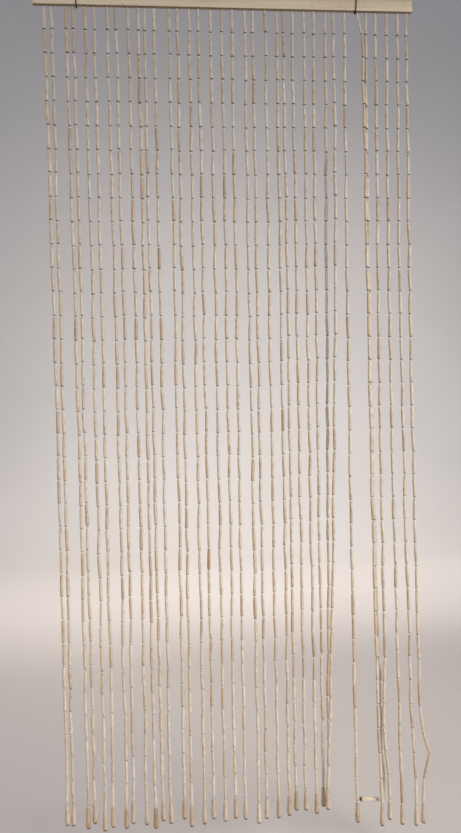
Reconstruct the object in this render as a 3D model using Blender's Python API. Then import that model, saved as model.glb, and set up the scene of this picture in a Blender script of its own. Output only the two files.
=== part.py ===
"""Bead strip curtain: strands of reed tubes and wood beads on a flat wooden rail with wire hangers.

Metres, +Z up. The front faces -Y. The origin is over the middle of the rail, level with the inside of the
tops of the two hangers.
"""

import math
import random
from typing import NamedTuple

import bmesh
import bpy
from mathutils import Vector

MM = 0.001

# Rail: a flat wooden strip on edge, whose lowest part is split off as the strips that the strands hang from
RAIL_LENGTH = 900 * MM
RAIL_HEIGHT = 36 * MM
RAIL_THICKNESS = 10 * MM
RAIL_EDGE_RADIUS = 1.5 * MM
STRIP_HEIGHT = 4 * MM
CORNER_STEPS = 3
GAP = 0.3 * MM

# Hangers: a wire loop round the rail, with its eye above
WIRE_DIAMETER = 2.4 * MM
WIRE_SIDES = 8
WIRE_CORNER_RADIUS = 2.4 * MM
WIRE_CORNER_STEPS = 3
WIRE_EYE_STEPS = 10
LOOP_RISE = 45 * MM
LEFT_HANGER_X = -350 * MM
RIGHT_HANGER_TOP_X = 317 * MM
RIGHT_HANGER_FOOT_X = 311 * MM
TWIST_DIAMETER = 3.4 * MM
TWIST_LENGTH = 7 * MM
KNOT_DIAMETER = 6.8 * MM
KNOT_DROP = 3.4 * MM
KNOT_SIDE = 1.2 * MM

# Strands: tubes and beads on a thread
TUBES_PER_STRAND = 34
FIRST_TUBE = 57 * MM
TUBE_PITCH = 55.8 * MM
TUBE_TOP_WIDTH = 5.4 * MM
TUBE_END_WIDTH = 7.9 * MM
BEAD_HEIGHT = 4.6 * MM
DROP_LENGTH = 49 * MM
DROP_WIDTH = 12.5 * MM
DROP_NECK = 3 * MM
USUAL_LENGTH = FIRST_TUBE + TUBE_PITCH * (TUBES_PER_STRAND - 1) + DROP_NECK + DROP_LENGTH
ROOT_INSET = 2 * MM
WOBBLE_SIDE = 1.5 * MM
WOBBLE_DEPTH = 1.5 * MM
WOBBLE_DOWN = 1.2 * MM
SPREAD_DEPTH = 400 * MM
MIDDLE = 0.47
THREE_SIDED_WIDTH = math.sqrt(3)

# One drop lies sideways, with its end against a strand on its left
CAUGHT_STRAND = 32
HOLDING_STRAND = 30
CAUGHT_RISE = 8 * MM
CAUGHT_SLOPE = 4 * MM
CAUGHT_GAP = 2.8 * MM
THREAD_WIDTH = 3 * MM

# The drop's half-width as a share of its largest, at shares of its length
DROP_PROFILE = ((0.0, 0.70), (0.3, 0.78), (0.76, 1.0), (0.93, 0.88), (1.0, 0.52))


class Strand(NamedTuple):
    """One strand, in millimetres from the rail's middle and its underside.

    A growth of 1 spaces its beads evenly, and more makes the lowest tubes longer.
    """

    root: float
    middle_drift: float
    end_drift: float
    length: float
    end_depth: float = 0.0
    growth: float = 1.0


STRANDS = (
    Strand(-425, 6, 6, 1938),
    Strand(-409, 4, 4, 1941),
    Strand(-375, 5, 5, 1951),
    Strand(-358, 2, 5, 1940),
    Strand(-332, 3, 3, 1960),
    Strand(-311, 3, 1, 1950),
    Strand(-280, 4, 2, 1956),
    Strand(-260, 3, -1, 1945),
    Strand(-232, 3, 1, 1949),
    Strand(-208, 0, -2, 1962),
    Strand(-193, 0, 3, 1943),
    Strand(-171, 1, -2, 1952),
    Strand(-135, -1, -4, 1943),
    Strand(-116, -2, -5, 1962),
    Strand(-89, 0, -1, 1958),
    Strand(-67, 0, 0, 1946),
    Strand(-38, -1, -3, 1955),
    Strand(-11, -2, -4, 1949),
    Strand(13, -2, -4, 1954),
    Strand(43, 0, 0, 1964),
    Strand(62, 0, -1, 1955),
    Strand(92, -1, -2, 1954),
    Strand(120, -1, -3, 1951),
    Strand(135, 0, -1, 1938),
    Strand(158, 0, 0, 1941),
    Strand(185, -2, 1, 1948),
    Strand(209, -4, -5, 1936, 2),
    Strand(238, -7, -22, 1939, 9),
    Strand(257, -12, -47, 1935, -10),
    Strand(284, -2, 3, 1977, 0, 3),
    Strand(328, 4, 19, 1988, -7, 12),
    Strand(337, 1, 18, 1983, 4, 7),
    Strand(360, -3, 8, 1974, -5, 8),
    Strand(387, 0, 16, 1991, 0, 12),
    Strand(414, 1, 25, 1997, 0, 9),
    Strand(436, 3, 20, 1992, 0, 5),
)
LEFT_STRANDS = 18


class Bump(NamedTuple):
    """A sideways bend of one strand, in millimetres: how far, how far down, and how long to each side."""

    strand: int
    shift: float
    down: float
    reach: float


BUMPS = (
    Bump(31, -13, 0, 45),
    Bump(32, 4, 1620, 130),
    Bump(32, 4, 1875, 60),
    Bump(33, -9, 1710, 190),
    Bump(35, -4, 1690, 180),
    Bump(36, 20, 1805, 70),
    Bump(36, 5, 1861, 56),
)

RAIL_TOP_Z = -LOOP_RISE
UNDERSIDE_Z = RAIL_TOP_Z - RAIL_HEIGHT

WOOD = ("planed pale wood", (0.62, 0.50, 0.35), 0.55, 0.0)
REED = ("reed and wood beads", (0.66, 0.55, 0.40), 0.45, 0.0)
BLACK_WIRE = ("black coated wire", (0.015, 0.015, 0.016), 0.45, 0.0)


def clear_scene():
    for obj in list(bpy.data.objects):
        bpy.data.objects.remove(obj, do_unlink=True)


def principled(name, colour, roughness, metallic):
    material = bpy.data.materials.new(name)
    material.use_nodes = True
    shader = material.node_tree.nodes["Principled BSDF"]
    shader.inputs["Base Color"].default_value = (*colour, 1.0)
    shader.inputs["Roughness"].default_value = roughness
    shader.inputs["Metallic"].default_value = metallic
    return material


def add_object(name, bm, finish):
    """Turns a bmesh into an object with its own material, with its faces pointing out."""
    bmesh.ops.recalc_face_normals(bm, faces=bm.faces)
    mesh = bpy.data.meshes.new(name)
    bm.to_mesh(mesh)
    bm.free()
    label, colour, roughness, metallic = finish
    mesh.materials.append(principled(f"{name} {label}", colour, roughness, metallic))
    obj = bpy.data.objects.new(name, mesh)
    bpy.context.scene.collection.objects.link(obj)
    return obj


def add_guide(name, bm, finish):
    guide = add_object(name, bm, finish)
    guide.hide_render = True
    guide.display_type = "WIRE"
    return guide


def unite(target, guide):
    modifier = target.modifiers.new(f"join {guide.name}", "BOOLEAN")
    modifier.operation = "UNION"
    modifier.solver = "EXACT"
    modifier.object = guide


def skin(bm, rings, closed=False):
    """Joins rings of points with quads. An open row of rings gets an end cap at each end."""
    loops = [[bm.verts.new(point) for point in ring] for ring in rings]
    sides = len(loops[0])
    pairs = list(zip(loops, loops[1:]))
    if closed:
        pairs.append((loops[-1], loops[0]))
    for upper, lower in pairs:
        for i in range(sides):
            j = (i + 1) % sides
            bm.faces.new((upper[i], upper[j], lower[j], lower[i]))
    if not closed:
        bm.faces.new(reversed(loops[0]))
        bm.faces.new(loops[-1])


def bar_outline(bottom, top, round_top, round_bottom):
    """The rail's or a strip's section as (y, z) points, with two of its edges rounded."""
    half = RAIL_THICKNESS / 2
    corners = (
        (half, top, 0, round_top),
        (-half, top, 90, round_top),
        (-half, bottom, 180, round_bottom),
        (half, bottom, 270, round_bottom),
    )
    outline = []
    for y, z, start, rounded in corners:
        if not rounded:
            outline.append((y, z))
            continue
        centre_y = y - math.copysign(RAIL_EDGE_RADIUS, y)
        centre_z = z - RAIL_EDGE_RADIUS if round_top else z + RAIL_EDGE_RADIUS
        for step in range(CORNER_STEPS + 1):
            angle = math.radians(start + 90 * step / CORNER_STEPS)
            outline.append(
                (
                    centre_y + RAIL_EDGE_RADIUS * math.cos(angle),
                    centre_z + RAIL_EDGE_RADIUS * math.sin(angle),
                )
            )
    return outline


def bar(left, right, outline):
    bm = bmesh.new()
    skin(bm, [[(x, y, z) for y, z in outline] for x in (left, right)])
    return bm


def strand_side(number, strand, depth):
    """A strand's X at a depth below the rail: a parabola through its root, middle and end, and its bumps."""
    t = depth / (strand.length * MM)
    curve = (strand.middle_drift / MIDDLE - strand.end_drift) / (MIDDLE - 1)
    x = strand.root + (strand.end_drift - curve) * t + curve * t * t
    for bump in BUMPS:
        away = abs(depth / MM - bump.down) / bump.reach
        if bump.strand == number and away < 1:
            x += bump.shift * (1 + math.cos(math.pi * away)) / 2
    return x * MM


def strand_nodes(number):
    """Where the round beads of a strand hang, from the first to the last."""
    strand = STRANDS[number - 1]
    rng = random.Random(number)
    extra = strand.length * MM - USUAL_LENGTH
    points = []
    for k in range(TUBES_PER_STRAND):
        side = rng.uniform(-WOBBLE_SIDE, WOBBLE_SIDE)
        forward = rng.uniform(-WOBBLE_DEPTH, WOBBLE_DEPTH)
        lower = rng.uniform(-WOBBLE_DOWN, WOBBLE_DOWN)
        depth = FIRST_TUBE + TUBE_PITCH * k + extra * (k / (TUBES_PER_STRAND - 1)) ** strand.growth + lower
        x = strand_side(number, strand, depth) + side
        y = strand.end_depth * MM * min(1, depth / SPREAD_DEPTH) + forward
        points.append(Vector((x, y, UNDERSIDE_Z - depth)))
    return points


def triangle(centre, width):
    """A level three-sided ring with one corner to the front, as wide as given seen from the front."""
    radius = width / THREE_SIDED_WIDTH
    corners = []
    for degrees in (-90, 30, 150):
        angle = math.radians(degrees)
        corners.append(centre + Vector((radius * math.cos(angle), radius * math.sin(angle), 0)))
    return corners


def add_strand(bm, number):
    """A strand's outer form: tubes that widen to their lower ends, a step at each bead, and the end drop."""
    nodes = strand_nodes(number)
    strand = STRANDS[number - 1]
    root = Vector((strand_side(number, strand, 0), 0, UNDERSIDE_Z + ROOT_INSET))
    rings = [triangle(root, TUBE_TOP_WIDTH)]
    half_bead = Vector((0, 0, BEAD_HEIGHT / 2))
    for node in nodes:
        rings.append(triangle(node + half_bead, TUBE_END_WIDTH))
        rings.append(triangle(node - half_bead, TUBE_TOP_WIDTH))
    if number != CAUGHT_STRAND:
        rings.pop()
        top = nodes[-1] - Vector((0, 0, DROP_NECK))
        for share, width in DROP_PROFILE:
            rings.append(triangle(top - Vector((0, 0, DROP_LENGTH * share)), width * DROP_WIDTH))
    skin(bm, rings)


def add_strand_group(name, first, last, left, right):
    """A strip along half of the rail's lower edge, with its strands fused into it."""
    guide_bm = bmesh.new()
    for number in range(first, last + 1):
        add_strand(guide_bm, number)
    strands = add_guide(f"{name}_strung", guide_bm, REED)
    outline = bar_outline(UNDERSIDE_Z, UNDERSIDE_Z + STRIP_HEIGHT, False, True)
    strip = add_object(name, bar(left, right, outline), REED)
    unite(strip, strands)
    return strip


def add_caught_drop(group):
    """The drop that lies sideways, tip to the left, on a short thread from its strand's last bead."""
    node = strand_nodes(CAUGHT_STRAND)[-1]
    tip_z = node.z + CAUGHT_RISE
    above, below = strand_nodes(HOLDING_STRAND)[-2:]
    share = (above.z - tip_z) / (above.z - below.z)
    tip_x = above.lerp(below, share).x + TUBE_END_WIDTH / 2 + CAUGHT_GAP
    tip = Vector((tip_x, node.y, tip_z))
    along = Vector((DROP_LENGTH, 0, -CAUGHT_SLOPE)).normalized() * DROP_LENGTH
    places = [(node, THREAD_WIDTH), (tip + along * (1 + THREAD_WIDTH / DROP_LENGTH), THREAD_WIDTH)]
    for share, width in DROP_PROFILE:
        places.append((tip + along * (1 - share), width * DROP_WIDTH))
    rings = []
    for centre, width in places:
        radius = width / THREE_SIDED_WIDTH
        ring = []
        for degrees in (90, 210, 330):
            angle = math.radians(degrees)
            ring.append(centre + Vector((0, radius * math.cos(angle), radius * math.sin(angle))))
        rings.append(ring)
    bm = bmesh.new()
    skin(bm, rings)
    unite(group, add_guide("caught_drop", bm, REED))


def hanger_path(top_x, foot_x):
    """The wire's middle line round the rail: from the foot up the back, over the eye and down the front."""
    radius = WIRE_DIAMETER / 2
    side = RAIL_THICKNESS / 2 + GAP + radius
    foot_z = UNDERSIDE_Z - GAP - radius
    eye_z = -radius - side + WIRE_DIAMETER
    corner = WIRE_CORNER_RADIUS
    line = []
    for step in range(WIRE_CORNER_STEPS + 1):
        angle = math.radians(-90 + 90 * step / WIRE_CORNER_STEPS)
        line.append((side - corner + corner * math.cos(angle), foot_z + corner + corner * math.sin(angle)))
    for step in range(WIRE_EYE_STEPS + 1):
        angle = math.pi * step / WIRE_EYE_STEPS
        line.append((side * math.cos(angle), eye_z + side * math.sin(angle)))
    for step in range(WIRE_CORNER_STEPS + 1):
        angle = math.radians(180 + 90 * step / WIRE_CORNER_STEPS)
        line.append((-side + corner + corner * math.cos(angle), foot_z + corner + corner * math.sin(angle)))
    height = -foot_z
    return [Vector((foot_x + (top_x - foot_x) * (z - foot_z) / height, y, z)) for y, z in line]


def wire_loop(path):
    """A round wire along a closed path that lies in a nearly upright plane."""
    bm = bmesh.new()
    rings = []
    for i, point in enumerate(path):
        tangent = (path[(i + 1) % len(path)] - path[i - 1]).normalized()
        outward = tangent.cross(Vector((1, 0, 0))).normalized()
        across = tangent.cross(outward)
        ring = []
        for side in range(WIRE_SIDES):
            angle = 2 * math.pi * side / WIRE_SIDES
            ring.append(point + (outward * math.cos(angle) + across * math.sin(angle)) * WIRE_DIAMETER / 2)
        rings.append(ring)
    skin(bm, rings, closed=True)
    return bm


def add_hangers():
    front_y = -RAIL_THICKNESS / 2 - GAP - WIRE_DIAMETER / 2 + WIRE_CORNER_RADIUS
    foot_z = UNDERSIDE_Z - GAP - WIRE_DIAMETER / 2

    left = add_object("hanger_left", wire_loop(hanger_path(LEFT_HANGER_X, LEFT_HANGER_X)), BLACK_WIRE)
    twist = bmesh.new()
    ends = (foot_z, foot_z - TWIST_LENGTH)
    rings = []
    for z in ends:
        ring = []
        for side in range(WIRE_SIDES):
            angle = 2 * math.pi * (side + 0.5) / WIRE_SIDES
            offset = Vector((math.cos(angle), math.sin(angle), 0)) * TWIST_DIAMETER / 2
            ring.append(Vector((LEFT_HANGER_X, front_y, z)) + offset)
        rings.append(ring)
    skin(twist, rings)
    unite(left, add_guide("left_twist", twist, BLACK_WIRE))

    slanted = hanger_path(RIGHT_HANGER_TOP_X, RIGHT_HANGER_FOOT_X)
    right = add_object("hanger_right", wire_loop(slanted), BLACK_WIRE)
    knot = bmesh.new()
    bmesh.ops.create_uvsphere(knot, u_segments=10, v_segments=7, radius=KNOT_DIAMETER / 2)
    bmesh.ops.translate(
        knot, verts=knot.verts, vec=(RIGHT_HANGER_FOOT_X - KNOT_SIDE, front_y, foot_z - KNOT_DROP)
    )
    unite(right, add_guide("right_knot", knot, BLACK_WIRE))


def main():
    clear_scene()
    half = RAIL_LENGTH / 2
    rail_outline = bar_outline(UNDERSIDE_Z + STRIP_HEIGHT + GAP, RAIL_TOP_Z, True, False)
    add_object("rail", bar(-half, half, rail_outline), WOOD)
    add_strand_group("strands_left", 1, LEFT_STRANDS, -half, -GAP / 2)
    right_group = add_strand_group("strands_right", LEFT_STRANDS + 1, len(STRANDS), GAP / 2, half)
    add_caught_drop(right_group)
    add_hangers()


main()
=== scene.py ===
"""The looks of a bead strip curtain: reed tubes, round wood beads and turned end drops on cotton threads.

The strands hang from a flat pine rail with two wire hangers. Sizes are in metres, in the part's own frame.
"""

import math
import random
from typing import NamedTuple

import bmesh
import bpy
from mathutils import Matrix, Vector, noise


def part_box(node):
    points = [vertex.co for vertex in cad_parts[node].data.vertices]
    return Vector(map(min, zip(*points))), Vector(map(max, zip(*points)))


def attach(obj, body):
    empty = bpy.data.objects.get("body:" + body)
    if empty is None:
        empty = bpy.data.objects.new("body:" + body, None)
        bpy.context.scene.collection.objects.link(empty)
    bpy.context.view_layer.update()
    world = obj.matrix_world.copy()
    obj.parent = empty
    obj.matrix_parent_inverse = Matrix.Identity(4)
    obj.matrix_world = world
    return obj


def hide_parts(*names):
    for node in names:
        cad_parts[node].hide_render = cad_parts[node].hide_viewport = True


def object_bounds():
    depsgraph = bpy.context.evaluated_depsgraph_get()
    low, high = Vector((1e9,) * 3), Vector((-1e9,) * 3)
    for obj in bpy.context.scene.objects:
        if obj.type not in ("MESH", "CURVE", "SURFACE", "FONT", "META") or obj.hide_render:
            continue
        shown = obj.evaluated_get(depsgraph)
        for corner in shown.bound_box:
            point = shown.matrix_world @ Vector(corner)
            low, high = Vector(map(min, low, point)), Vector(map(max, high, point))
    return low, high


MM = 0.001

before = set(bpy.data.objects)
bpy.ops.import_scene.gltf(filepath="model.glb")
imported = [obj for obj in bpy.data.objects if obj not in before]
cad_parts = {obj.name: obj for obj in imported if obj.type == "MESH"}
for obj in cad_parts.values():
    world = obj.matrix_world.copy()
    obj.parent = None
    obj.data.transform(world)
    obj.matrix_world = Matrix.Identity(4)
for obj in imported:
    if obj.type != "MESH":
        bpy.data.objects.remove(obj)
cad_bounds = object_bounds()

# The rail, and the strands' sizes as the solids have them
RAIL_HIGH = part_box("rail")[1]
RAIL_HALF_LENGTH = RAIL_HIGH.x
RAIL_HALF_THICKNESS = RAIL_HIGH.y
RAIL_TOP_Z = RAIL_HIGH.z
RAIL_HEIGHT = 36 * MM
UNDERSIDE_Z = RAIL_TOP_Z - RAIL_HEIGHT
RAIL_EDGE_RADIUS = 1.5 * MM

TUBES_PER_STRAND = 34
FIRST_TUBE = 57 * MM
TUBE_PITCH = 55.8 * MM
DROP_LENGTH = 49 * MM
DROP_WIDTH = 12.7 * MM
DROP_NECK = 3 * MM
USUAL_LENGTH = FIRST_TUBE + TUBE_PITCH * (TUBES_PER_STRAND - 1) + DROP_NECK + DROP_LENGTH

# How far each round bead hangs off its strand's line, at most
WOBBLE_SIDE = 1.5 * MM
WOBBLE_DEPTH = 1.5 * MM
WOBBLE_DOWN = 1.2 * MM

# Where a strand has its full depth in front or behind, and its middle drift, as a share of its length
SPREAD_DEPTH = 400 * MM
MIDDLE = 0.47

# The drop that lies sideways: how far its tip is above its last bead, how far it falls along its length,
# and how far its tip is from the middle of the strand beside it
CAUGHT_STRAND = 32
HOLDING_STRAND = 30
CAUGHT_RISE = 8 * MM
CAUGHT_SLOPE = 4 * MM
CAUGHT_CLEARANCE = 6.6 * MM

# Finer sizes of the strung pieces
BEAD_WIDTH = 5.2 * MM
BEAD_HEIGHT = 5.0 * MM
TUBE_WIDTH = 7.8 * MM
WIDTH_SPREAD = 0.5 * MM
BEAD_WIDTH_SHARES = (0.94, 1.08)
DROP_WIDTH_SHARES = (0.95, 1.02)
ROOM_UNDER_RAIL = (1.5 * MM, 3.0 * MM)
MOST_SLACK = 1.0 * MM
MOST_BEND = 0.7 * MM
THREAD_DIAMETER = 1.3 * MM
THREAD_INSET = 3 * MM

# How the pieces' shades are spread from palest, 0, to darkest, 1, as the two shapes of a beta curve
TUBE_SHADES = (1.5, 3.2)
DROP_SHADES = (1.6, 1.6)
PALEST = 0.0

# How many sides the round pieces have, and how far from round they may be, as a share of the width
TUBE_SIDES, TUBE_OVAL = 10, 0.1
BEAD_SIDES, BEAD_OVAL = 8, 0.06
DROP_SIDES, DROP_OVAL = 24, 0.03
THREAD_SIDES = 6
WIRE_SIDES = 16
WIRE_END_SIDES = 12

# Hangers
WIRE_DIAMETER = 2.4 * MM
WIRE_GAP = 0.3 * MM
WIRE_END_DIAMETER = 0.75 * WIRE_DIAMETER
WIRE_CORNER_RADIUS = WIRE_DIAMETER
LEFT_HANGER_X = -350 * MM
RIGHT_HANGER_TOP_X = 317 * MM
RIGHT_HANGER_FOOT_X = 311 * MM
TWIST_LENGTH = 7 * MM
KNOT_DROP = 3.4 * MM
KNOT_SIDE = 1.2 * MM

# The photo's camera, found from the rail and the level rows of beads
PHOTO_HEIGHT = 833
FOCAL_PIXELS = 637.2
SENSOR_HEIGHT = 36.0
CAMERA_PLACE = Vector((-0.1139, -1.5301, -1.0111))
CAMERA_YAW = math.radians(-3.944)
CAMERA_PITCH = math.radians(-1.367)
CAMERA_ROLL = math.radians(1.135)


class Strand(NamedTuple):
    """One strand, in millimetres from the rail's middle and its underside.

    A growth of 1 spaces its beads evenly, and more makes the lowest tubes longer.
    """

    root: float
    middle_drift: float
    end_drift: float
    length: float
    end_depth: float = 0.0
    growth: float = 1.0


STRANDS = (
    Strand(-425, 6, 6, 1938),
    Strand(-409, 4, 4, 1941),
    Strand(-375, 5, 5, 1951),
    Strand(-358, 2, 5, 1940),
    Strand(-332, 3, 3, 1960),
    Strand(-311, 3, 1, 1950),
    Strand(-280, 4, 2, 1956),
    Strand(-260, 3, -1, 1945),
    Strand(-232, 3, 1, 1949),
    Strand(-208, 0, -2, 1962),
    Strand(-193, 0, 3, 1943),
    Strand(-171, 1, -2, 1952),
    Strand(-135, -1, -4, 1943),
    Strand(-116, -2, -5, 1962),
    Strand(-89, 0, -1, 1958),
    Strand(-67, 0, 0, 1946),
    Strand(-38, -1, -3, 1955),
    Strand(-11, -2, -4, 1949),
    Strand(13, -2, -4, 1954),
    Strand(43, 0, 0, 1964),
    Strand(62, 0, -1, 1955),
    Strand(92, -1, -2, 1954),
    Strand(120, -1, -3, 1951),
    Strand(135, 0, -1, 1938),
    Strand(158, 0, 0, 1941),
    Strand(185, -2, 1, 1948),
    Strand(209, -4, -5, 1936, 2),
    Strand(238, -7, -22, 1939, 9),
    Strand(257, -12, -47, 1935, -10),
    Strand(284, -2, 3, 1977, 0, 3),
    Strand(328, 4, 19, 1988, -7, 12),
    Strand(337, 1, 18, 1983, 4, 7),
    Strand(360, -3, 8, 1974, -5, 8),
    Strand(387, 0, 16, 1991, 0, 12),
    Strand(414, 1, 25, 1997, 0, 9),
    Strand(436, 3, 20, 1992, 0, 5),
)
LEFT_STRANDS = 18


class Bump(NamedTuple):
    """A sideways bend of one strand, in millimetres: how far, how far down, and how long to each side."""

    strand: int
    shift: float
    down: float
    reach: float


BUMPS = (
    Bump(31, -13, 0, 45),
    Bump(32, 4, 1620, 130),
    Bump(32, 4, 1875, 60),
    Bump(33, -9, 1710, 190),
    Bump(35, -4, 1690, 180),
    Bump(36, 20, 1805, 70),
    Bump(36, 5, 1861, 56),
)


class Place(NamedTuple):
    """Where one turned piece goes: its middle, its axis towards its top, its sizes, shade and bend."""

    centre: Vector
    axis: Vector
    reach: float
    girth: float
    tone: float
    bend: Vector


class Streaks(NamedTuple):
    """A piece's grain: the width and length of its streaks in millimetres, and how much darker they go."""

    width: float
    length: float
    depth: float


class PaintedShadeEnd(NamedTuple):
    """Painted shade at a piece's ends, darkest at the lower end: its colour, where it starts and is full as
    shares of the height from the middle, and how much of it the top end has."""

    colour: str
    start: float
    full: float
    top: float = 0.0


class Varnish(NamedTuple):
    """A varnished surface: its roughness, its clear coat and the coat's roughness, and its relief in mm."""

    roughness: float
    coat: float
    coat_roughness: float
    relief: float


class Lamp(NamedTuple):
    """A soft light: where it stands and faces, its size, power in watts, colour and spread in degrees."""

    name: str
    place: tuple
    aim: tuple
    size: tuple
    power: float
    colour: str
    spread: float = 180


LAMPS = (
    Lamp("key", (2.8, -2.6, 0.1), (0.0, 0.0, -1.7), (1.4, 1.4), 14.5, "#FFEDD8", 56),
    Lamp("fill", (-2.6, -2.6, -0.8), (0.0, 0.0, -1.6), (2.5, 2.5), 6, "#F4F0EC"),
    Lamp("wall light", (0.7, 0.9, 0.1), (0.5, 5.5, -1.6), (4.0, 0.8), 67, "#FFF4E6", 120),
    Lamp("floor light", (0.0, 1.6, 0.4), (0.0, 1.9, -2.2), (4.0, 1.0), 15.5, "#FFE8D2", 120),
)
SURROUND_COLOUR = "#E6E5EA"
SURROUND_STRENGTH = 0.46

# Settings and sockets of a Mix node that lays one colour over another
TINT = {"data_type": "RGBA", "blend_type": "MULTIPLY"}
COVER = {"data_type": "RGBA"}
SHARE, UNDER, OVER, MIXED = 0, 6, 7, 2

# Inputs 0 to 4 of a Map Range node are its value, the low and high that come in, and the low and high that
# go out. Nearly all of a noise texture lies between these two:
NOISE_LOW, NOISE_HIGH = 0.3, 0.7

# How far the grain may be moved on each strung piece, in millimetres, so that no two have the same
MOST_GRAIN_SHIFT = (500.0, 500.0, 500.0)

# A wave texture of scale 1 turns through this many radians in one metre
WAVE_TURN = 20

# Outlines of the turned pieces from bottom to top, as shares of the half-width and of the height
TUBE_OUTLINE = (
    (0.34, 0.02),
    (0.84, 0.00),
    (0.97, 0.025),
    (1.00, 0.25),
    (0.98, 0.70),
    (0.91, 0.975),
    (0.76, 1.00),
    (0.30, 0.98),
)
BEAD_OUTLINE = (
    (0.26, 0.07),
    (0.55, 0.05),
    (0.90, 0.24),
    (1.00, 0.50),
    (0.90, 0.76),
    (0.55, 0.95),
    (0.26, 0.93),
)
DROP_OUTLINE = (
    (0.16, 0.012),
    (0.30, 0.000),
    (0.54, 0.012),
    (0.74, 0.038),
    (0.90, 0.085),
    (0.98, 0.150),
    (1.00, 0.220),
    (0.98, 0.310),
    (0.92, 0.430),
    (0.84, 0.580),
    (0.79, 0.740),
    (0.76, 0.870),
    (0.72, 0.955),
    (0.60, 0.992),
    (0.40, 1.000),
    (0.18, 0.985),
)


def linear(code):
    """A colour's hex code in sRGB as linear red, green, blue and alpha."""
    channels = []
    for start in (1, 3, 5):
        value = int(code[start:start + 2], 16) / 255
        channels.append(value / 12.92 if value <= 0.04045 else ((value + 0.055) / 1.055) ** 2.4)
    return (*channels, 1.0)


def put(tree, kind, inputs=None, stops=(), **settings):
    """Adds a node with its settings. An input is a socket to link, or a value.

    The stops, as (place, hex colour), are those of a colour ramp.
    """
    added = tree.nodes.new(kind)
    for name, value in settings.items():
        setattr(added, name, value)
    for key, value in (inputs or {}).items():
        if isinstance(value, bpy.types.NodeSocket):
            tree.links.new(value, added.inputs[key])
        else:
            added.inputs[key].default_value = value
    for number, (place, code) in enumerate(stops):
        elements = added.color_ramp.elements
        element = elements[number] if number < len(elements) else elements.new(1.0)
        element.position = place
        element.color = linear(code)
    return added


def new_material(name):
    """A material with its node tree and its one shader."""
    material = bpy.data.materials.new(name)
    material.use_nodes = True
    tree = material.node_tree
    return material, tree, tree.nodes["Principled BSDF"]


def strung_grain(tree, size_mm):
    """A piece's own coordinates in millimetres, moved differently on each piece, and the height share."""
    place = put(tree, "ShaderNodeAttribute", attribute_name="form_place").outputs["Vector"]
    shift = put(tree, "ShaderNodeAttribute", attribute_name="grain_shift").outputs["Vector"]
    sized = put(tree, "ShaderNodeVectorMath", {0: place, 1: size_mm}, operation="MULTIPLY").outputs[0]
    moved = put(tree, "ShaderNodeVectorMath", {0: sized, 1: shift}, operation="ADD").outputs[0]
    height = put(tree, "ShaderNodeSeparateXYZ", {"Vector": place}).outputs["Z"]
    return moved, height


def grain_noise(tree, coordinate, size_mm, **character):
    """Noise stretched to streaks or patches of a size in millimetres along X, Y and Z."""
    shrink = [1 / size for size in size_mm]
    scaled = put(tree, "ShaderNodeVectorMath", {0: coordinate, 1: shrink}, operation="MULTIPLY")
    noise_inputs = {"Vector": scaled.outputs[0], "Scale": 1.0, **character}
    return put(tree, "ShaderNodeTexNoise", noise_inputs).outputs["Fac"]


def strung_material(name, size_mm, stops, grain, stain, painted_shade_end, varnish):
    """Wood or reed of the strung pieces: a shade for each, streaks along it, stains and painted shade at the
    ends.
    """
    material, tree, shader = new_material(name)
    coordinate, height = strung_grain(tree, size_mm)
    tone = put(tree, "ShaderNodeAttribute", attribute_name="tone").outputs["Fac"]
    body = put(tree, "ShaderNodeValToRGB", {"Fac": tone}, stops).outputs["Color"]
    width, length, depth = grain

    fine = grain_noise(tree, coordinate, (width, width, length), Detail=3.0)
    broad = grain_noise(tree, coordinate, (width * 4, width * 4, length * 1.5), Detail=1.0)
    shades = []
    for streak, lighter in ((fine, 0.35), (broad, 0.2)):
        span = {0: streak, 1: NOISE_LOW, 2: NOISE_HIGH, 3: 1.0 - depth, 4: 1.0 + depth * lighter}
        shades.append(put(tree, "ShaderNodeMapRange", span).outputs[0])
    shade = put(tree, "ShaderNodeMath", {0: shades[0], 1: shades[1]}, operation="MULTIPLY").outputs[0]
    grained = put(tree, "ShaderNodeVectorMath", {0: body, "Scale": shade}, operation="SCALE").outputs[0]

    patches = grain_noise(tree, coordinate, (width * 6, width * 6, length * 0.8), Detail=2.0)
    stain_share = put(tree, "ShaderNodeMapRange", {0: patches, 1: 0.52, 2: 0.72, 3: 0.0, 4: 0.7}).outputs[0]
    stain_inputs = {SHARE: stain_share, UNDER: grained, OVER: linear(stain)}
    stained = put(tree, "ShaderNodeMix", stain_inputs, **TINT).outputs[MIXED]

    # Painted shade: the lower end darkened fully and the top end by its share, as shade falls under each
    # piece
    ends = []
    for start, full, most in ((-painted_shade_end.start, -painted_shade_end.full, 1.0), (painted_shade_end.start, painted_shade_end.full, painted_shade_end.top)):
        span = {0: height, 1: start, 2: full, 3: 0.0, 4: most}
        ends.append(put(tree, "ShaderNodeMapRange", span).outputs[0])
    painted_shade_share = put(tree, "ShaderNodeMath", {0: ends[0], 1: ends[1]}, operation="MAXIMUM").outputs[0]
    painted_shade_inputs = {SHARE: painted_shade_share, UNDER: stained, OVER: linear(painted_shade_end.colour)}
    colour = put(tree, "ShaderNodeMix", painted_shade_inputs, **TINT).outputs[MIXED]
    tree.links.new(colour, shader.inputs["Base Color"])

    roughest = varnish.roughness + 0.08
    smoothest = varnish.roughness - 0.05
    rough_span = {0: fine, 1: NOISE_LOW, 2: NOISE_HIGH, 3: roughest, 4: smoothest}
    rough = put(tree, "ShaderNodeMapRange", rough_span).outputs[0]
    tree.links.new(rough, shader.inputs["Roughness"])
    bump = put(tree, "ShaderNodeBump", {"Strength": 0.6, "Distance": varnish.relief * MM, "Height": fine})
    tree.links.new(bump.outputs[0], shader.inputs["Normal"])
    shader.inputs["Coat Weight"].default_value = varnish.coat
    shader.inputs["Coat Roughness"].default_value = varnish.coat_roughness
    return material


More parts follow.
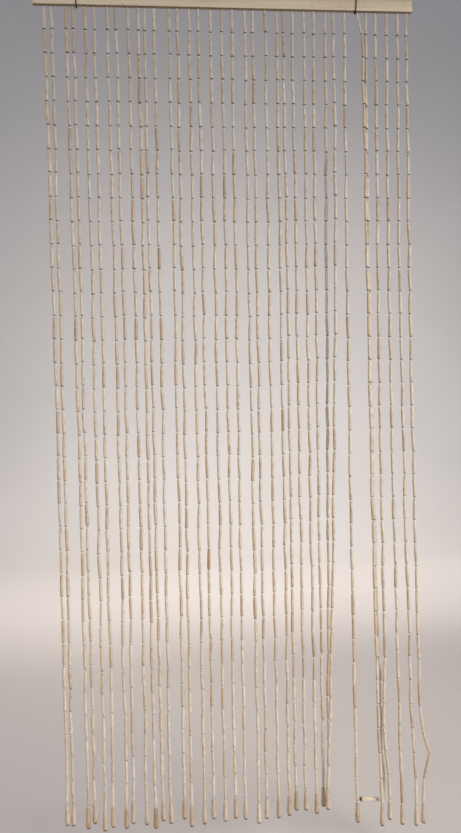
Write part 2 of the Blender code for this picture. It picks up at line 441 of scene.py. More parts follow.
def reed_material():
    """Peeled reed, cut and lightly varnished: ivory to tan, with fibres, rosy stains and painted shade at
    the foot.
    """
    return strung_material(
        "peeled_reed_varnished",
        size_mm=(7.8, 7.8, 50.0),
        stops=(
            (0.0, "#F1EADE"),
            (0.35, "#E9DDCB"),
            (0.6, "#DECEB7"),
            (0.78, "#DBC5B2"),
            (0.9, "#CBB396"),
            (1.0, "#B79D7E"),
        ),
        grain=Streaks(1.1, 16.0, 0.14),
        stain="#E0C4AA",
        # Painted shade at each tube's lower end
        painted_shade_end=PaintedShadeEnd("#7A664E", 0.458, 0.488),
        varnish=Varnish(0.42, 0.12, 0.3, 0.12),
    )


def bead_material():
    """Turned beechwood beads, tumbled and varnished: pale, glossy, with painted shade at the holes, most
    below.
    """
    return strung_material(
        "turned_beads_varnished",
        size_mm=(5.2, 5.2, 5.0),
        stops=((0.0, "#FFFCF6"), (0.6, "#FBF5EA"), (1.0, "#F3EADB")),
        grain=Streaks(0.8, 3.0, 0.08),
        stain="#EFE0CC",
        # Painted shade at the bead's ends, strongest at the lower one
        painted_shade_end=PaintedShadeEnd("#B8A488", 0.42, 0.49, 0.2),
        varnish=Varnish(0.26, 0.4, 0.15, 0.04),
    )


def drop_material():
    """Turned softwood drops, varnished: straw to tan and rose, with lengthwise grain and painted shade at
    the foot.
    """
    return strung_material(
        "turned_drops_varnished",
        size_mm=(12.7, 12.7, 49.0),
        stops=(
            (0.0, "#EAE2D5"),
            (0.4, "#E0D4C2"),
            (0.65, "#DAC9B6"),
            (0.9, "#CDB89C"),
            (1.0, "#B59F7A"),
        ),
        grain=Streaks(1.5, 22.0, 0.16),
        stain="#E2C8AC",
        # Painted shade at the drop's foot
        painted_shade_end=PaintedShadeEnd("#5C4C3A", 0.345, 0.445),
        varnish=Varnish(0.38, 0.25, 0.22, 0.12),
    )


def thread_material():
    """Twisted cotton thread, unbleached: off-white and matt, with its lay as slanted ridges.

    The lay is drawn several times coarser than the real one, so that it shows.
    """
    material, tree, shader = new_material("cotton_thread_unbleached")
    lay = 8.8 * MM
    slant = math.radians(35)
    place = put(tree, "ShaderNodeTexCoord").outputs["Object"]
    turned = put(tree, "ShaderNodeMapping", {"Vector": place, "Rotation": (0.0, slant, 0.0)}).outputs[0]
    ridges = put(
        tree,
        "ShaderNodeTexWave",
        {"Vector": turned, "Scale": math.tau / (WAVE_TURN * lay), "Distortion": 0.5},
        bands_direction="Z",
    ).outputs["Fac"]
    stops = ((0.0, "#BDB19A"), (0.5, "#E4DCC8"), (1.0, "#F0EADB"))
    colour = put(tree, "ShaderNodeValToRGB", {"Fac": ridges}, stops).outputs["Color"]
    tree.links.new(colour, shader.inputs["Base Color"])
    bump = put(tree, "ShaderNodeBump", {"Strength": 0.6, "Distance": 0.1 * MM, "Height": ridges})
    tree.links.new(bump.outputs[0], shader.inputs["Normal"])
    shader.inputs["Roughness"].default_value = 0.9
    shader.inputs["Sheen Weight"].default_value = 0.2
    return material


def rail_material():
    """Planed pine, lightly varnished: cream with grain along it, rare brown flecks, painted shade greying
    the upper part of its face and darkening its underside, and year rings on the end faces, drawn wide so
    that they show."""
    material, tree, shader = new_material("planed_pine_varnished")
    place = put(tree, "ShaderNodeTexCoord").outputs["Object"]
    in_millimetres = {0: place, "Scale": 1 / MM}
    millimetres = put(tree, "ShaderNodeVectorMath", in_millimetres, operation="SCALE").outputs[0]

    grain = grain_noise(tree, millimetres, (130, 4, 3), Detail=5.0, Roughness=0.6, Distortion=0.3)
    broad = grain_noise(tree, millimetres, (220, 20, 14), Detail=2.0)
    mixed = put(tree, "ShaderNodeMix", {0: 0.45, 2: grain, 3: broad}).outputs[0]
    wood_stops = ((0.28, "#DAC6A6"), (0.42, "#EDDCBE"), (0.55, "#F5E8CE"), (0.72, "#F9F0DE"))
    wood = put(tree, "ShaderNodeValToRGB", {"Fac": mixed}, wood_stops).outputs["Color"]

    # Painted shade: the face greyed towards its top edge
    height = put(tree, "ShaderNodeSeparateXYZ", {"Vector": place}).outputs["Z"]
    top_shade_start = UNDERSIDE_Z + 14 * MM
    top_shade_span = {0: height, 1: top_shade_start, 2: RAIL_TOP_Z, 3: 0.0, 4: 0.55}
    top_shade_share = put(tree, "ShaderNodeMapRange", top_shade_span).outputs[0]
    top_shade_inputs = {SHARE: top_shade_share, UNDER: wood, OVER: linear("#A9A1A0")}
    top_shaded = put(tree, "ShaderNodeMix", top_shade_inputs, **TINT).outputs[MIXED]

    fleck_room = [1 / size for size in (16, 9, 7)]
    fleck_place = put(tree, "ShaderNodeVectorMath", {0: millimetres, 1: fleck_room}, operation="MULTIPLY")
    cells = put(tree, "ShaderNodeTexVoronoi", {"Vector": fleck_place.outputs[0], "Scale": 1.0}).outputs
    chosen = put(tree, "ShaderNodeSeparateXYZ", {"Vector": cells["Color"]}).outputs["X"]
    rare = put(tree, "ShaderNodeMath", {0: chosen, 1: 0.86}, operation="GREATER_THAN").outputs[0]
    spot_span = {0: cells["Distance"], 1: 0.10, 2: 0.22, 3: 0.75, 4: 0.0}
    spot = put(tree, "ShaderNodeMapRange", spot_span).outputs[0]
    fleck = put(tree, "ShaderNodeMath", {0: rare, 1: spot}, operation="MULTIPLY").outputs[0]
    fleck_inputs = {SHARE: fleck, UNDER: top_shaded, OVER: linear("#7E5F3C")}
    flecked = put(tree, "ShaderNodeMix", fleck_inputs, **COVER).outputs[MIXED]

    # Painted shade: faces that look down are darkened, as the underside gets little light
    normal = put(tree, "ShaderNodeNewGeometry").outputs["Normal"]
    facing = put(tree, "ShaderNodeSeparateXYZ", {"Vector": normal}).outputs
    underside_shade_share = put(tree, "ShaderNodeMapRange", {0: facing["Z"], 1: -0.3, 2: -0.8, 3: 0.0, 4: 1.0}).outputs[0]
    underside_shade_inputs = {SHARE: underside_shade_share, UNDER: flecked, OVER: linear("#8F826F")}
    shaded = put(tree, "ShaderNodeMix", underside_shade_inputs, **TINT).outputs[MIXED]

    end_share = put(tree, "ShaderNodeMath", {0: facing["X"]}, operation="ABSOLUTE").outputs[0]
    end_face = put(tree, "ShaderNodeMapRange", {0: end_share, 1: 0.7, 2: 0.9, 3: 0.0, 4: 1.0}).outputs[0]
    ring_width = 13.8 * MM
    ring_scale = math.tau / (WAVE_TURN * ring_width)
    rings = put(
        tree,
        "ShaderNodeTexWave",
        {"Vector": place, "Scale": ring_scale, "Distortion": 3.0, "Detail Scale": 2.0},
        wave_type="RINGS",
        rings_direction="X",
    ).outputs["Fac"]
    ring_stops = ((0.0, "#8F7247"), (0.6, "#BFA272"), (1.0, "#CDB486"))
    end_grain = put(tree, "ShaderNodeValToRGB", {"Fac": rings}, ring_stops).outputs["Color"]
    end_inputs = {SHARE: end_face, UNDER: shaded, OVER: end_grain}
    colour = put(tree, "ShaderNodeMix", end_inputs, **COVER).outputs[MIXED]
    tree.links.new(colour, shader.inputs["Base Color"])
    rough_span = {0: grain, 1: NOISE_LOW, 2: NOISE_HIGH, 3: 0.62, 4: 0.5}
    rough = put(tree, "ShaderNodeMapRange", rough_span).outputs[0]
    tree.links.new(rough, shader.inputs["Roughness"])
    bump = put(tree, "ShaderNodeBump", {"Strength": 0.5, "Distance": 0.15 * MM, "Height": grain})
    tree.links.new(bump.outputs[0], shader.inputs["Normal"])
    return material


def wire_material():
    """Steel wire in a black PVC coat: nearly black, half gloss, faintly scuffed."""
    material, tree, shader = new_material("black_pvc_coated_wire")
    scuff_size = 1.5 * MM
    place = put(tree, "ShaderNodeTexCoord").outputs["Object"]
    noise_inputs = {"Vector": place, "Scale": 1 / scuff_size, "Detail": 4.0}
    scuffs = put(tree, "ShaderNodeTexNoise", noise_inputs).outputs["Fac"]
    stops = ((0.35, "#070708"), (0.6, "#0C0C0D"), (0.78, "#161617"))
    colour = put(tree, "ShaderNodeValToRGB", {"Fac": scuffs}, stops).outputs["Color"]
    tree.links.new(colour, shader.inputs["Base Color"])
    rough_span = {0: scuffs, 1: NOISE_LOW, 2: NOISE_HIGH, 3: 0.32, 4: 0.5}
    rough = put(tree, "ShaderNodeMapRange", rough_span).outputs[0]
    tree.links.new(rough, shader.inputs["Roughness"])
    bump = put(tree, "ShaderNodeBump", {"Strength": 0.4, "Distance": 0.05 * MM, "Height": scuffs})
    tree.links.new(bump.outputs[0], shader.inputs["Normal"])
    return material


def studio_material():
    """Matt painted studio board: a pale, even grey."""
    material, tree, shader = new_material("matt_studio_board")
    place = put(tree, "ShaderNodeTexCoord").outputs["Object"]
    mottle = put(tree, "ShaderNodeTexNoise", {"Vector": place, "Scale": 0.8, "Detail": 2.0}).outputs["Fac"]
    stops = ((0.3, "#D4D4D6"), (0.7, "#D9D9DB"))
    colour = put(tree, "ShaderNodeValToRGB", {"Fac": mottle}, stops).outputs["Color"]
    tree.links.new(colour, shader.inputs["Base Color"])
    shader.inputs["Roughness"].default_value = 0.95
    shader.inputs["Specular IOR Level"].default_value = 0.1
    return material


def strand_side(number, strand, depth):
    """A strand's X at a depth below the rail: a parabola through its root, middle and end, and its bumps."""
    t = depth / (strand.length * MM)
    curve = (strand.middle_drift / MIDDLE - strand.end_drift) / (MIDDLE - 1)
    x = strand.root + (strand.end_drift - curve) * t + curve * t * t
    for bump in BUMPS:
        away = abs(depth / MM - bump.down) / bump.reach
        if bump.strand == number and away < 1:
            x += bump.shift * (1 + math.cos(math.pi * away)) / 2
    return x * MM


def strand_nodes(number):
    """Where the round beads of a strand hang, from the first to the last, as in the solids."""
    strand = STRANDS[number - 1]
    rng = random.Random(number)
    extra = strand.length * MM - USUAL_LENGTH
    points = []
    for k in range(TUBES_PER_STRAND):
        side = rng.uniform(-WOBBLE_SIDE, WOBBLE_SIDE)
        forward = rng.uniform(-WOBBLE_DEPTH, WOBBLE_DEPTH)
        lower = rng.uniform(-WOBBLE_DOWN, WOBBLE_DOWN)
        depth = FIRST_TUBE + TUBE_PITCH * k + extra * (k / (TUBES_PER_STRAND - 1)) ** strand.growth + lower
        x = strand_side(number, strand, depth) + side
        y = strand.end_depth * MM * min(1, depth / SPREAD_DEPTH) + forward
        points.append(Vector((x, y, UNDERSIDE_Z - depth)))
    return points


def caught_drop_ends():
    """The tip and the top of the drop that lies sideways."""
    node = strand_nodes(CAUGHT_STRAND)[-1]
    tip_z = node.z + CAUGHT_RISE
    above, below = strand_nodes(HOLDING_STRAND)[-2:]
    share = (above.z - tip_z) / (above.z - below.z)
    tip = Vector((above.lerp(below, share).x + CAUGHT_CLEARANCE, node.y, tip_z))
    along = Vector((DROP_LENGTH, 0, -CAUGHT_SLOPE)).normalized() * DROP_LENGTH
    return tip, tip + along


def piece_between(low, high, girth, tone, bend=Vector()):
    """One turned piece that reaches from a low point to a high one."""
    axis = high - low
    return Place((low + high) / 2, axis.normalized(), axis.length, girth, tone, bend)


def strand_pieces(number):
    """The tubes, the beads and the drop of one strand, and the points its thread runs through."""
    rng = random.Random(1000 + number)
    nodes = strand_nodes(number)
    root = Vector((strand_side(number, STRANDS[number - 1], 0), 0, UNDERSIDE_Z))
    half_bead = BEAD_HEIGHT / 2
    tubes = []
    beads = []
    top = root - Vector((0, 0, rng.uniform(*ROOM_UNDER_RAIL)))
    for node in nodes:
        foot = node + Vector((0, 0, half_bead))
        girth = TUBE_WIDTH + rng.gauss(0, WIDTH_SPREAD)
        girth = min(max(girth, TUBE_WIDTH - 2 * WIDTH_SPREAD), TUBE_WIDTH + 2 * WIDTH_SPREAD)
        tone = rng.betavariate(*TUBE_SHADES)
        turn = rng.uniform(0, math.tau)
        bend = Vector((math.cos(turn), math.sin(turn), 0)) * rng.uniform(0, MOST_BEND)
        tubes.append(piece_between(foot, top, girth, tone, bend))
        low = node - Vector((0, 0, half_bead))
        beads.append(piece_between(low, foot, BEAD_WIDTH * rng.uniform(*BEAD_WIDTH_SHARES), rng.random()))
        top = low - Vector((0, 0, rng.uniform(0, MOST_SLACK)))
    tone = rng.betavariate(*DROP_SHADES)
    girth = DROP_WIDTH * rng.uniform(*DROP_WIDTH_SHARES)
    if number == CAUGHT_STRAND:
        tip, neck = caught_drop_ends()
        tone = PALEST
    else:
        neck = nodes[-1] - Vector((0, 0, DROP_NECK))
        tip = neck - Vector((0, 0, DROP_LENGTH))
    drop = piece_between(tip, neck, girth, tone)
    into_drop = neck + (tip - neck).normalized() * THREAD_INSET
    thread = [root + Vector((0, 0, THREAD_INSET)), *nodes, neck, into_drop]
    return tubes, beads, drop, thread


def new_tree(name, inputs):
    """A Geometry Nodes tree with its named inputs, and their sockets inside the tree."""
    tree = bpy.data.node_groups.new(name, "GeometryNodeTree")
    tree.interface.new_socket("Geometry", in_out="OUTPUT", socket_type="NodeSocketGeometry")
    for label, kind in {"Geometry": "Geometry", **inputs}.items():
        tree.interface.new_socket(label, in_out="INPUT", socket_type=f"NodeSocket{kind}")
    return tree, put(tree, "NodeGroupInput").outputs


def form_tree(name, outline):
    """A node tree that turns one outline into a round piece and sets it on every point it is given."""
    inputs = {"Sides": "Int", "Out of round": "Float", "Seed": "Int", "Finish": "Material"}
    tree, given = new_tree(name, inputs)
    last = len(outline) - 1

    # The outline, as two curves that give a cylinder's rings their width and height
    cylinder = put(
        tree,
        "GeometryNodeMeshCylinder",
        {"Vertices": given["Sides"], "Side Segments": last, "Radius": 0.5, "Depth": 1.0},
        fill_type="NGON",
    )
    here = put(tree, "GeometryNodeInputPosition").outputs[0]
    parts = put(tree, "ShaderNodeSeparateXYZ", {0: here}).outputs
    up = put(tree, "ShaderNodeMath", {0: parts["Z"], 1: 0.5}, operation="ADD").outputs[0]
    shares = []
    for column in (0, 1):
        curve = put(tree, "ShaderNodeFloatCurve", {"Value": up})
        points = curve.mapping.curves[0].points
        while len(points) < len(outline):
            points.new(0.5, 0.5)
        for i, row in enumerate(outline):
            points[i].location = (i / last, row[column])
            points[i].handle_type = "VECTOR"
        curve.mapping.update()
        shares.append(curve.outputs[0])
    x = put(tree, "ShaderNodeMath", {0: parts["X"], 1: shares[0]}, operation="MULTIPLY").outputs[0]
    y = put(tree, "ShaderNodeMath", {0: parts["Y"], 1: shares[0]}, operation="MULTIPLY").outputs[0]
    z = put(tree, "ShaderNodeMath", {0: shares[1], 1: 0.5}, operation="SUBTRACT").outputs[0]
    place = put(tree, "ShaderNodeCombineXYZ", {0: x, 1: y, 2: z}).outputs[0]
    shaped = put(tree, "GeometryNodeSetPosition", {"Geometry": cylinder.outputs["Mesh"], "Position": place})
    noted = put(
        tree,
        "GeometryNodeStoreNamedAttribute",
        {"Geometry": shaped.outputs[0], "Name": "form_place", "Value": here},
        data_type="FLOAT_VECTOR",
        domain="POINT",
    )
    smooth = put(tree, "GeometryNodeSetShadeSmooth", {"Geometry": noted.outputs[0], "Shade Smooth": True})

    # One on each point, along its axis, turned by chance and a little oval
    read = {}
    kinds = {"axis": "FLOAT_VECTOR", "bend": "FLOAT_VECTOR", "form_place": "FLOAT_VECTOR"}
    for attribute, kind in {**kinds, "reach": "FLOAT", "girth": "FLOAT"}.items():
        named = put(tree, "GeometryNodeInputNamedAttribute", {"Name": attribute}, data_type=kind)
        read[attribute] = named.outputs[0]
    rotation = put(tree, "FunctionNodeAlignRotationToVector", {"Vector": read["axis"]}, axis="Z").outputs[0]
    least = put(tree, "ShaderNodeMath", {0: 1.0, 1: given["Out of round"]}, operation="SUBTRACT").outputs[0]
    oval_inputs = {2: least, 3: 1.0, "Seed": given["Seed"]}
    oval = put(tree, "FunctionNodeRandomValue", oval_inputs, data_type="FLOAT").outputs[1]
    narrow = put(tree, "ShaderNodeMath", {0: read["girth"], 1: oval}, operation="MULTIPLY").outputs[0]
    size = put(tree, "ShaderNodeCombineXYZ", {0: read["girth"], 1: narrow, 2: read["reach"]}).outputs[0]
    set_out = put(
        tree,
        "GeometryNodeInstanceOnPoints",
        {"Points": given["Geometry"], "Instance": smooth.outputs[0], "Rotation": rotation, "Scale": size},
    )
    turn_inputs = {2: 0.0, 3: math.tau, "Seed": given["Seed"]}
    turn = put(tree, "FunctionNodeRandomValue", turn_inputs, data_type="FLOAT").outputs[1]
    upright = {"Axis": (0.0, 0.0, 1.0), "Angle": turn}
    spin = put(tree, "FunctionNodeAxisAngleToRotation", upright).outputs[0]
    spin_inputs = {"Instances": set_out.outputs[0], "Rotation": spin, "Local Space": True}
    spun = put(tree, "GeometryNodeRotateInstances", spin_inputs)

    # A different stretch of grain for each, and its bend, widest at its middle
    shift = put(
        tree,
        "FunctionNodeRandomValue",
        {0: (0.0, 0.0, 0.0), 1: MOST_GRAIN_SHIFT, "Seed": given["Seed"]},
        data_type="FLOAT_VECTOR",
    ).outputs[0]
    shifted = put(
        tree,
        "GeometryNodeStoreNamedAttribute",
        {"Geometry": spun.outputs[0], "Name": "grain_shift", "Value": shift},
        data_type="FLOAT_VECTOR",
        domain="INSTANCE",
    )
    made = put(tree, "GeometryNodeRealizeInstances", {"Geometry": shifted.outputs[0]})
    level = put(tree, "ShaderNodeSeparateXYZ", {0: read["form_place"]}).outputs["Z"]
    squared = put(tree, "ShaderNodeMath", {0: level, 1: level}, operation="MULTIPLY").outputs[0]
    bow_inputs = {0: squared, 1: -4.0, 2: 1.0}
    bow = put(tree, "ShaderNodeMath", bow_inputs, operation="MULTIPLY_ADD").outputs[0]
    offset = put(tree, "ShaderNodeVectorMath", {0: read["bend"], "Scale": bow}, operation="SCALE").outputs[0]
    bent = put(tree, "GeometryNodeSetPosition", {"Geometry": made.outputs[0], "Offset": offset})
    coated = {"Geometry": bent.outputs[0], "Material": given["Finish"]}
    finished = put(tree, "GeometryNodeSetMaterial", coated)
    put(tree, "NodeGroupOutput", {0: finished.outputs[0]})
    return tree


def line_tree():
    """A node tree that runs a round thread or wire along each line it is given."""
    inputs = {"Sides": "Int", "Thickness": "Float", "Finish": "Material"}
    tree, given = new_tree("thread along its route", inputs)
    route = put(tree, "GeometryNodeMeshToCurve", {0: given["Geometry"]})
    radius = put(tree, "ShaderNodeMath", {0: given["Thickness"], 1: 0.5}, operation="MULTIPLY").outputs[0]
    round_inputs = {"Resolution": given["Sides"], "Radius": radius}
    section = put(tree, "GeometryNodeCurvePrimitiveCircle", round_inputs)
    swept = put(
        tree,
        "GeometryNodeCurveToMesh",
        {"Curve": route.outputs[0], "Profile Curve": section.outputs[0], "Fill Caps": True},
    )
    smooth = put(tree, "GeometryNodeSetShadeSmooth", {"Geometry": swept.outputs[0], "Shade Smooth": True})
    made = put(tree, "GeometryNodeRealizeInstances", {"Geometry": smooth.outputs[0]})
    coated = {"Geometry": made.outputs[0], "Material": given["Finish"]}
    finished = put(tree, "GeometryNodeSetMaterial", coated)
    put(tree, "NodeGroupOutput", {0: finished.outputs[0]})
    return tree


def grown(name, mesh, tree, values):
    """Runs a node tree on a mesh, and keeps the result as a plain mesh object."""
    obj = bpy.data.objects.new(name, mesh)
    bpy.context.scene.collection.objects.link(obj)
    modifier = obj.modifiers.new("form", "NODES")
    modifier.node_group = tree
    for item in tree.interface.items_tree:
        if item.item_type == "SOCKET" and item.in_out == "INPUT" and item.name in values:
            modifier[item.identifier] = values[item.name]
    depsgraph = bpy.context.evaluated_depsgraph_get()
    plain = bpy.data.meshes.new_from_object(obj.evaluated_get(depsgraph), depsgraph=depsgraph)
    obj.modifiers.remove(modifier)
    obj.data = plain
    plain.name = name
    return obj


def strung_object(name, places, tree, sides, out_of_round, seed, finish):
    """Many round pieces as one object, each on its place."""
    mesh = bpy.data.meshes.new(f"{name} places")
    mesh.from_pydata([place.centre for place in places], [], [])
    for field in ("axis", "bend"):
        attribute = mesh.attributes.new(field, "FLOAT_VECTOR", "POINT")
        for i, place in enumerate(places):
            attribute.data[i].vector = getattr(place, field)
    for field in ("reach", "girth", "tone"):
        attribute = mesh.attributes.new(field, "FLOAT", "POINT")
        for i, place in enumerate(places):
            attribute.data[i].value = getattr(place, field)
    values = {"Sides": sides, "Out of round": out_of_round, "Seed": seed, "Finish": finish}
    return grown(name, mesh, tree, values)


def line_object(name, lines, tree, sides, thickness, finish, closed=False):
    """Threads or wires as one object. Each line is a list of points."""
    points = []
    edges = []
    for line in lines:
        first = len(points)
        points.extend(line)
        edges.extend((i, i + 1) for i in range(first, len(points) - 1))
        if closed:
            edges.append((len(points) - 1, first))
    mesh = bpy.data.meshes.new(f"{name} route")
    mesh.from_pydata(points, edges, [])
    return grown(name, mesh, tree, {"Sides": sides, "Thickness": thickness, "Finish": finish})


def make_strands(side, numbers, trees, finishes):
    """All the strung pieces of one half of the curtain."""
    tubes = []
    beads = []
    drops = []
    threads = []
    for number in numbers:
        strand_tubes, strand_beads, drop, thread = strand_pieces(number)
        tubes += strand_tubes
        beads += strand_beads
        drops.append(drop)
        threads.append(thread)
    seed = numbers[0]
    strung = (
        ("reed_tubes", tubes, "tube", TUBE_SIDES, TUBE_OVAL),
        ("round_beads", beads, "bead", BEAD_SIDES, BEAD_OVAL),
        ("end_drops", drops, "drop", DROP_SIDES, DROP_OVAL),
    )
    pieces = []
    for i, (name, places, form, sides, oval) in enumerate(strung):
        name = f"{name}_{side}"
        pieces.append(strung_object(name, places, trees[form], sides, oval, seed + i, finishes[form]))
    cotton = finishes["thread"]
    name = f"threads_{side}"
    pieces.append(line_object(name, threads, trees["line"], THREAD_SIDES, THREAD_DIAMETER, cotton))
    for piece in pieces:
        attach(piece, "root")
        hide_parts(f"strands_{side}")


def rail_outline():
    """The rail's section as (Y, Z) points, with its four long edges rounded."""
    corner_steps = 5
    points = []
    for y_side, z_side, start in ((1, 1, 0), (-1, 1, 90), (-1, -1, 180), (1, -1, 270)):
        middle_y = y_side * (RAIL_HALF_THICKNESS - RAIL_EDGE_RADIUS)
        edge_z = RAIL_TOP_Z if z_side > 0 else UNDERSIDE_Z
        middle_z = edge_z - z_side * RAIL_EDGE_RADIUS
        for step in range(corner_steps + 1):
            angle = math.radians(start + 90 * step / corner_steps)
            y = middle_y + RAIL_EDGE_RADIUS * math.cos(angle)
            points.append((y, middle_z + RAIL_EDGE_RADIUS * math.sin(angle)))
    return points


def make_rail(finish):
    """The rail: a planed strip with rounded edges, a touch uneven as wood is after planing and handling."""
    section_step = 15 * MM
    end_chamfer = 0.6 * MM
    unevenness = 0.22 * MM
    wave_length = 70 * MM
    chatter_length = wave_length / 6
    count = round(2 * RAIL_HALF_LENGTH / section_step)
    stations = [-RAIL_HALF_LENGTH, -RAIL_HALF_LENGTH + end_chamfer]
    stations += [-RAIL_HALF_LENGTH + 2 * RAIL_HALF_LENGTH * i / count for i in range(1, count)]
    stations += [RAIL_HALF_LENGTH - end_chamfer, RAIL_HALF_LENGTH]
    middle_z = (RAIL_TOP_Z + UNDERSIDE_Z) / 2
    outline = rail_outline()
    bm = bmesh.new()
    rings = []
    for x in stations:
        inset = max(0.0, end_chamfer - (RAIL_HALF_LENGTH - abs(x)))
        ring = []
        for y, z in outline:
            y -= math.copysign(inset, y)
            z -= math.copysign(inset, z - middle_z)
            wave = noise.noise(Vector((x, y * 2, z * 2)) / wave_length)
            chatter = noise.noise(Vector((x, y, z)) / chatter_length)
            z -= math.copysign(unevenness * (0.5 + 0.5 * wave + 0.25 * chatter), z - middle_z)
            ring.append(bm.verts.new((x, y, z)))
        rings.append(ring)
    for left, right in zip(rings, rings[1:]):
        for i in range(len(outline)):
            j = (i + 1) % len(outline)
            bm.faces.new((left[i], left[j], right[j], right[i]))
    bm.faces.new(reversed(rings[0]))
    bm.faces.new(rings[-1])
    bmesh.ops.recalc_face_normals(bm, faces=bm.faces)
    for face in bm.faces:
        face.smooth = abs(face.normal.x) < 0.5
    mesh = bpy.data.meshes.new("planed_rail")
    bm.to_mesh(mesh)
    bm.free()
    mesh.materials.append(finish)
    rail = bpy.data.objects.new("planed_rail", mesh)
    bpy.context.scene.collection.objects.link(rail)
    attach(rail, "root")
    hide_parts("rail")


def hanger_path(top_x, foot_x):
    """The wire's middle line round the rail: from the foot up the back, over the eye and down the front."""
    steps = 8
    radius = WIRE_DIAMETER / 2
    side = RAIL_HALF_THICKNESS + WIRE_GAP + radius
    foot_z = UNDERSIDE_Z - WIRE_GAP - radius
    corner_y = side - WIRE_CORNER_RADIUS
    corner_z = foot_z + WIRE_CORNER_RADIUS
    eye_z = WIRE_DIAMETER - radius - side
    bends = (
        (corner_y, corner_z, WIRE_CORNER_RADIUS, -90, 90, steps),
        (0.0, eye_z, side, 0, 180, 3 * steps),
        (-corner_y, corner_z, WIRE_CORNER_RADIUS, 180, 90, steps),
    )
    line = []
    for y, z, bend_radius, start, turn, bend_steps in bends:
        for step in range(bend_steps + 1):
            angle = math.radians(start + turn * step / bend_steps)
            line.append((y + bend_radius * math.cos(angle), z + bend_radius * math.sin(angle)))
    return [Vector((foot_x + (top_x - foot_x) * (z - foot_z) / -foot_z, y, z)) for y, z in line]


def twist_lines(x, y, top_z):
    """The left hanger's two wire ends, twisted round each other under the rail and closer at their tips."""
    turns = 1.5
    steps = 24
    spread = 0.75 * MM
    closing = 0.35
    lines = []
    for start in (0.0, math.pi):
        line = []
        for step in range(steps + 1):
            share = step / steps
            angle = start + math.tau * turns * share
            away = spread * (1 - closing * share)
            offset = Vector((away * math.cos(angle), away * math.sin(angle), -TWIST_LENGTH * share))
            line.append(Vector((x, y, top_z)) + offset)
        lines.append(line)
    return lines


def knot_line(centre):
    """The right hanger's small overhand knot, as a trefoil."""
    width = 1.28 * MM
    depth = 1.44 * MM
    lobe = 1.3
    steps = 60
    line = []
    for step in range(steps):
        t = math.tau * step / steps
        across = width * (math.sin(t) + lobe * math.sin(2 * t))
        up = width * (math.cos(t) - lobe * math.cos(2 * t))
        line.append(centre + Vector((across, -depth * math.sin(3 * t), up)))
    return line


def joined(name, parts):
    """Several mesh objects as one, with the first one's material."""
    bm = bmesh.new()
    for part in parts:
        bm.from_mesh(part.data)
    mesh = bpy.data.meshes.new(name)
    bm.to_mesh(mesh)
    bm.free()
    mesh.materials.append(parts[0].data.materials[0])
    for part in parts:
        bpy.data.objects.remove(part)
    obj = bpy.data.objects.new(name, mesh)
    bpy.context.scene.collection.objects.link(obj)
    return obj


def make_hangers(tree, finish):
    """Two loops of coated wire round the rail. The left one ends in a twist, the right one in a knot."""
    foot_z = UNDERSIDE_Z - WIRE_GAP - WIRE_DIAMETER / 2
    front_y = -RAIL_HALF_THICKNESS - WIRE_GAP - WIRE_DIAMETER / 2 + WIRE_CORNER_RADIUS
    knot_centre = Vector((RIGHT_HANGER_FOOT_X - KNOT_SIDE, front_y, foot_z - KNOT_DROP))
    twist = twist_lines(LEFT_HANGER_X, front_y, foot_z)
    hangers = (
        ("left", LEFT_HANGER_X, LEFT_HANGER_X, twist, False),
        ("right", RIGHT_HANGER_TOP_X, RIGHT_HANGER_FOOT_X, [knot_line(knot_centre)], True),
    )
    for side, top_x, foot_x, end_lines, closed in hangers:
        path = hanger_path(top_x, foot_x)
        loop = line_object(f"{side}_loop", [path], tree, WIRE_SIDES, WIRE_DIAMETER, finish, closed=True)
        end = line_object(f"{side}_end", end_lines, tree, WIRE_END_SIDES, WIRE_END_DIAMETER, finish, closed)
        hanger = joined(f"wire_hanger_{side}", (loop, end))
        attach(hanger, "root")
        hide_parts(f"hanger_{side}")


def make_stage():
    """A pale floor that sweeps up into a backdrop, far enough behind for the camera to go all round."""
    room_under_drops = 0.08
    front_y = -14.0
    back_y = 5.5
    half_width = 14.0
    sweep = 2.5
    height = 12.0
    steps = 24
    floor_z = cad_bounds[0][2] - room_under_drops
    sweep_y = back_y - sweep
    sweep_z = floor_z + sweep
    profile = [(front_y, floor_z), (sweep_y, floor_z)]
    for step in range(1, steps + 1):
        angle = math.radians(90 * step / steps)
        profile.append((sweep_y + sweep * math.sin(angle), sweep_z - sweep * math.cos(angle)))
    profile.append((back_y, floor_z + height))
    bm = bmesh.new()
    rows = []
    for x in (-half_width, half_width):
        rows.append([bm.verts.new((x, y, z)) for y, z in profile])
    for i in range(len(profile) - 1):
        face = bm.faces.new((rows[0][i], rows[1][i], rows[1][i + 1], rows[0][i + 1]))
        face.smooth = True
    mesh = bpy.data.meshes.new("studio_sweep")
    bm.to_mesh(mesh)
    bm.free()
    mesh.materials.append(studio_material())
    sweep_board = bpy.data.objects.new("studio_sweep", mesh)
    bpy.context.scene.collection.objects.link(sweep_board)


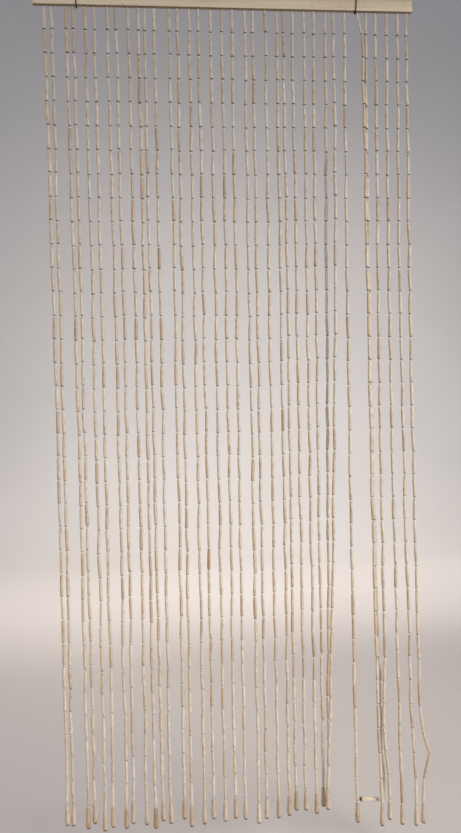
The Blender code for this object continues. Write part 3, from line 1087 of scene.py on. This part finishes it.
def add_light(lamp):
    """One soft rectangular light."""
    light = bpy.data.lights.new(lamp.name, "AREA")
    light.shape = "RECTANGLE"
    light.size, light.size_y = lamp.size
    light.energy = lamp.power
    light.color = linear(lamp.colour)[:3]
    light.spread = math.radians(lamp.spread)
    obj = bpy.data.objects.new(lamp.name, light)
    obj.location = lamp.place
    obj.rotation_euler = (Vector(lamp.aim) - Vector(lamp.place)).to_track_quat("-Z", "Y").to_euler()
    bpy.context.scene.collection.objects.link(obj)


def make_lights():
    """Soft light from the front right and above that fades towards the rail, with a pale surround."""
    for lamp in LAMPS:
        add_light(lamp)
    bpy.context.scene.view_settings.view_transform = "Standard"
    world = bpy.data.worlds.new("pale surround")
    world.use_nodes = True
    bpy.context.scene.world = world
    background = world.node_tree.nodes["Background"]
    background.inputs["Color"].default_value = linear(SURROUND_COLOUR)
    background.inputs["Strength"].default_value = SURROUND_STRENGTH


def make_camera():
    """The photo's camera: where it stood, how it was turned and its angle of view."""
    yaw = Matrix.Rotation(CAMERA_YAW, 3, "Z")
    pitch = Matrix.Rotation(CAMERA_PITCH, 3, "X")
    roll = Matrix.Rotation(CAMERA_ROLL, 3, "Y")
    turn = yaw @ pitch @ roll @ Matrix.Rotation(math.radians(90), 3, "X")
    lens = bpy.data.cameras.new("photo camera")
    lens.sensor_fit = "VERTICAL"
    lens.sensor_height = SENSOR_HEIGHT
    lens.lens = FOCAL_PIXELS / PHOTO_HEIGHT * SENSOR_HEIGHT
    camera = bpy.data.objects.new("photo camera", lens)
    camera.matrix_world = Matrix.Translation(CAMERA_PLACE) @ turn.to_4x4()
    bpy.context.scene.collection.objects.link(camera)
    bpy.context.scene.camera = camera


def main():
    """The camera, the curtain's pieces with their finishes, and the studio round them."""
    make_camera()
    trees = {
        "tube": form_tree("reed tube on its place", TUBE_OUTLINE),
        "bead": form_tree("round bead on its place", BEAD_OUTLINE),
        "drop": form_tree("turned drop on its place", DROP_OUTLINE),
        "line": line_tree(),
    }
    finishes = {
        "tube": reed_material(),
        "bead": bead_material(),
        "drop": drop_material(),
        "thread": thread_material(),
    }
    make_strands("left", range(1, LEFT_STRANDS + 1), trees, finishes)
    make_strands("right", range(LEFT_STRANDS + 1, len(STRANDS) + 1), trees, finishes)
    make_rail(rail_material())
    make_hangers(trees["line"], wire_material())
    make_stage()
    make_lights()


main()
